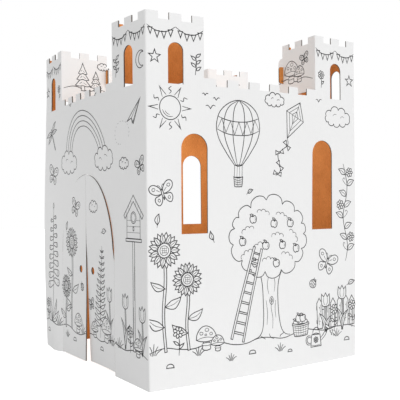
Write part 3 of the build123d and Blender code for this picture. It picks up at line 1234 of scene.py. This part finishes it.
def insideOutline(places, outline):
    ends = np.roll(outline, -1, axis=0)
    crossed = np.zeros(len(places), dtype=bool)
    for (u0, v0), (u1, v1) in zip(outline, ends):
        if v0 != v1:
            between = (places[:, 1] >= min(v0, v1)) & (places[:, 1] < max(v0, v1))
            crossed ^= between & (places[:, 0] < u0 + (places[:, 1] - v0) * (u1 - u0) / (v1 - v0))
    return crossed


# The strokes as flat ribbons, less what the covering ones hide
def flatPrint(items):
    pen["strokes"], pen["masks"] = [], []
    for item in items:
        at(*item)
    strokes, masks = pen["strokes"], pen["masks"]
    nib = bpy.data.curves.new("nib", "CURVE")
    nib.splines.new("POLY").points.add(1)
    for point, side in zip(nib.splines[0].points, (-0.5, 0.5)):
        point.co = (side, 0, 0, 1)
    curve = bpy.data.curves.new("strokes", "CURVE")
    curve.dimensions = "2D"
    curve.fill_mode = "NONE"
    curve.resolution_u = 6
    curve.bevel_mode = "OBJECT"
    curve.bevel_object = addObject("nib", nib)
    layers = []
    for layer, (handled, weight, closed) in enumerate(strokes):
        spline = curve.splines.new("BEZIER")
        spline.bezier_points.add(len(handled) - 1)
        spline.use_cyclic_u = closed
        for knot, (left, place, right) in zip(spline.bezier_points, handled):
            knot.co = (*place, 0)
            knot.handle_left = (*left, 0)
            knot.handle_right = (*right, 0)
            knot.radius = weight * random.uniform(0.88, 1.08)
        if not closed:
            for knot in (spline.bezier_points[0], spline.bezier_points[-1]):
                knot.radius *= penSet["ends"]
        layers += [layer] * (len(handled) - (not closed)) * curve.resolution_u
    holder = addObject("strokes", curve)
    bpy.context.view_layer.update()
    flat = bpy.data.meshes.new_from_object(holder.evaluated_get(bpy.context.evaluated_depsgraph_get()))
    bm = bmesh.new()
    bm.from_mesh(flat)
    stroke = bm.faces.layers.int.new("stroke")
    for face, layer in zip(bm.faces, layers, strict=True):
        face[stroke] = layer
    for _ in range(4):
        rails = set()
        for face in bm.faces:
            longest = sorted(face.edges, key=lambda edge: edge.calc_length())[-2:]
            if sum(edge.calc_length() for edge in longest) > 2 * inkSet["grain"]:
                rails.update(longest)
        if not rails:
            break
        bmesh.ops.subdivide_edges(bm, edges=list(rails), cuts=1, use_grid_fill=True)
    faces = list(bm.faces)
    centres = np.array([face.calc_center_median()[:2] for face in faces])
    layers = np.array([face[stroke] for face in faces])
    hidden = np.zeros(len(faces), dtype=bool)
    for layer, outline in masks:
        outline = np.array(outline)
        near = (centres > outline.min(0)).all(1) & (centres < outline.max(0)).all(1) & (layers < layer)
        near = np.flatnonzero(near)
        hidden[near] |= insideOutline(centres[near], outline)
    bmesh.ops.delete(bm, geom=[faces[k] for k in np.flatnonzero(hidden)], context="FACES")
    bpy.data.objects.remove(curve.bevel_object)
    bpy.data.objects.remove(holder)
    bm.to_mesh(flat)
    bm.free()
    return flat


# Flat prints laid on their boards along the way that each white side faces
def layPrint(name, body, lays):
    whole = bmesh.new()
    for flat, origin, facing, boardTree in lays:
        bm = bmesh.new()
        bm.from_mesh(flat)
        right = up.cross(facing)
        missed = []
        for vert in bm.verts:
            start = origin + right * vert.co.x * mm + up * vert.co.y * mm + facing * inkSet["castFrom"]
            hit, normal, _, _ = boardTree.ray_cast(start, -facing, inkSet["castOver"])
            if hit is None or normal.dot(facing) < inkSet["facing"]:
                missed.append(vert)
            else:
                vert.co = hit + normal * inkSet["lift"]
        bmesh.ops.delete(bm, geom=missed, context="VERTS")
        laid = bpy.data.meshes.new("laid")
        bm.to_mesh(laid)
        bm.free()
        whole.from_mesh(laid)
    piece = addObject(name, bpy.data.meshes.new(name))
    whole.to_mesh(piece.data)
    whole.free()
    piece.data.materials.append(ink)
    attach(piece, body)
    print(name, "laid,", len(piece.data.polygons), "faces")


ink = makeInk()
frontFlat = flatPrint(sheets["front"])
frontMiddle = Vector((0, -halfWidth, 0))
layPrint("frontPrint", "castle", [(frontFlat, frontMiddle, walls["front"]["face"], shellTree)])
layPrint("leftLeafPrint", "left_leaf", [(frontFlat, frontMiddle, leftLeaf["face"], leftTree)])
layPrint("rightLeafPrint", "right_leaf", [(frontFlat, frontMiddle, walls["front"]["face"], rightTree)])
for side in ("right", "back", "left"):
    facing = walls[side]["face"]
    layPrint(side + "Print", "castle", [(flatPrint(sheets[side]), facing * halfWidth, facing, shellTree)])
flapFlats = [flatPrint(items) for items in flapSheets]
flapLays = []
for number, flap in enumerate(flaps):
    middle = flap["origin"] + flap["along"] * flapMiddle * mm
    flapLays.append((flapFlats[number % 4], middle, flap["face"], shellTree))
layPrint("flapPrint", "castle", flapLays)

# Floor, light and camera
stageSet = {
    "ambient": 0.66,
    "sun": 1.16,
    "sunAngle": 50,
    "sunTurn": 90,
    "sunTilt": 60,
    "floorGlow": 0.72,
    "floorGrey": 0.82,
    "floorReach": 12,
    "fills": {  # place, watts, size
        "innerFill": ((0, 0.06, 0.8), 2.8, 0.3),
        "towerFill": ((0.33, -0.36, 1.04), 0.08, 0.03),
        "frontFill": ((-0.75, -0.95, 0.45), 1.2, 0.15),
    },
}


def makeStage():
    bm = bmesh.new()
    bmesh.ops.create_grid(bm, x_segments=1, y_segments=1, size=stageSet["floorReach"])
    floor = addObject("floor", bpy.data.meshes.new("floor"))
    bm.to_mesh(floor.data)
    bm.free()
    material, tree, shader = newMaterial("paleFloor", 0.8, 0.1)
    shader.inputs["Base Color"].default_value = (*[stageSet["floorGrey"]] * 3, 1)
    glow = addNode(tree, "Emission")
    path = addNode(tree, "LightPath")
    seen = calc(tree, "MULTIPLY", path.outputs["Is Camera Ray"], stageSet["floorGlow"])
    tree.links.new(seen, glow.inputs["Strength"])
    both = addNode(tree, "AddShader")
    tree.links.new(shader.outputs[0], both.inputs[0])
    tree.links.new(glow.outputs[0], both.inputs[1])
    tree.links.new(both.outputs[0], tree.nodes["Material Output"].inputs["Surface"])
    floor.data.materials.append(material)

    world = bpy.data.worlds.new("studio")
    bpy.context.scene.world = world
    world.use_nodes = True
    tree = world.node_tree
    path = addNode(tree, "LightPath")
    seen = calc(tree, "MAXIMUM", path.outputs["Is Camera Ray"], path.outputs["Is Glossy Ray"])
    seen = calc(tree, "MAXIMUM", seen, path.outputs["Is Transmission Ray"])
    strength = spread(tree, seen, 0, 1, stageSet["ambient"], 1.0)
    background = tree.nodes["Background"]
    background.inputs["Color"].default_value = (1, 1, 1, 1)
    tree.links.new(strength, background.inputs["Strength"])

    lamp = bpy.data.lights.new("softSun", "SUN")
    lamp.energy = stageSet["sun"]
    lamp.angle = radians(stageSet["sunAngle"])
    holder = addObject("softSun", lamp)
    holder.rotation_euler = (radians(stageSet["sunTilt"]), 0, radians(stageSet["sunTurn"]))
    for name, (place, power, size) in stageSet["fills"].items():
        lamp = bpy.data.lights.new(name, "POINT")
        lamp.energy = power
        lamp.shadow_soft_size = size
        holder = addObject(name, lamp)
        holder.location = place
        holder.visible_camera = False


cameraSet = {
    "place": (2.131, -1.326, 0.5315),
    "turn": 57.54,
    "pitch": 0.24,
    "roll": -0.51,
    "lens": 62.23,
    "sensor": 36,
}


def makeCamera():
    camera = addObject("camera", bpy.data.cameras.new("camera"))
    turn = Matrix.Rotation(radians(cameraSet["turn"]), 4, "Z")
    pitch = Matrix.Rotation(radians(90 + cameraSet["pitch"]), 4, "X")
    roll = Matrix.Rotation(radians(cameraSet["roll"]), 4, "Z")
    camera.matrix_world = Matrix.Translation(cameraSet["place"]) @ turn @ pitch @ roll
    camera.data.lens = cameraSet["lens"]
    camera.data.sensor_width = cameraSet["sensor"]
    bpy.context.scene.camera = camera


makeStage()
makeCamera()
bpy.context.scene.view_settings.view_transform = "Standard"
print("stage and camera made")
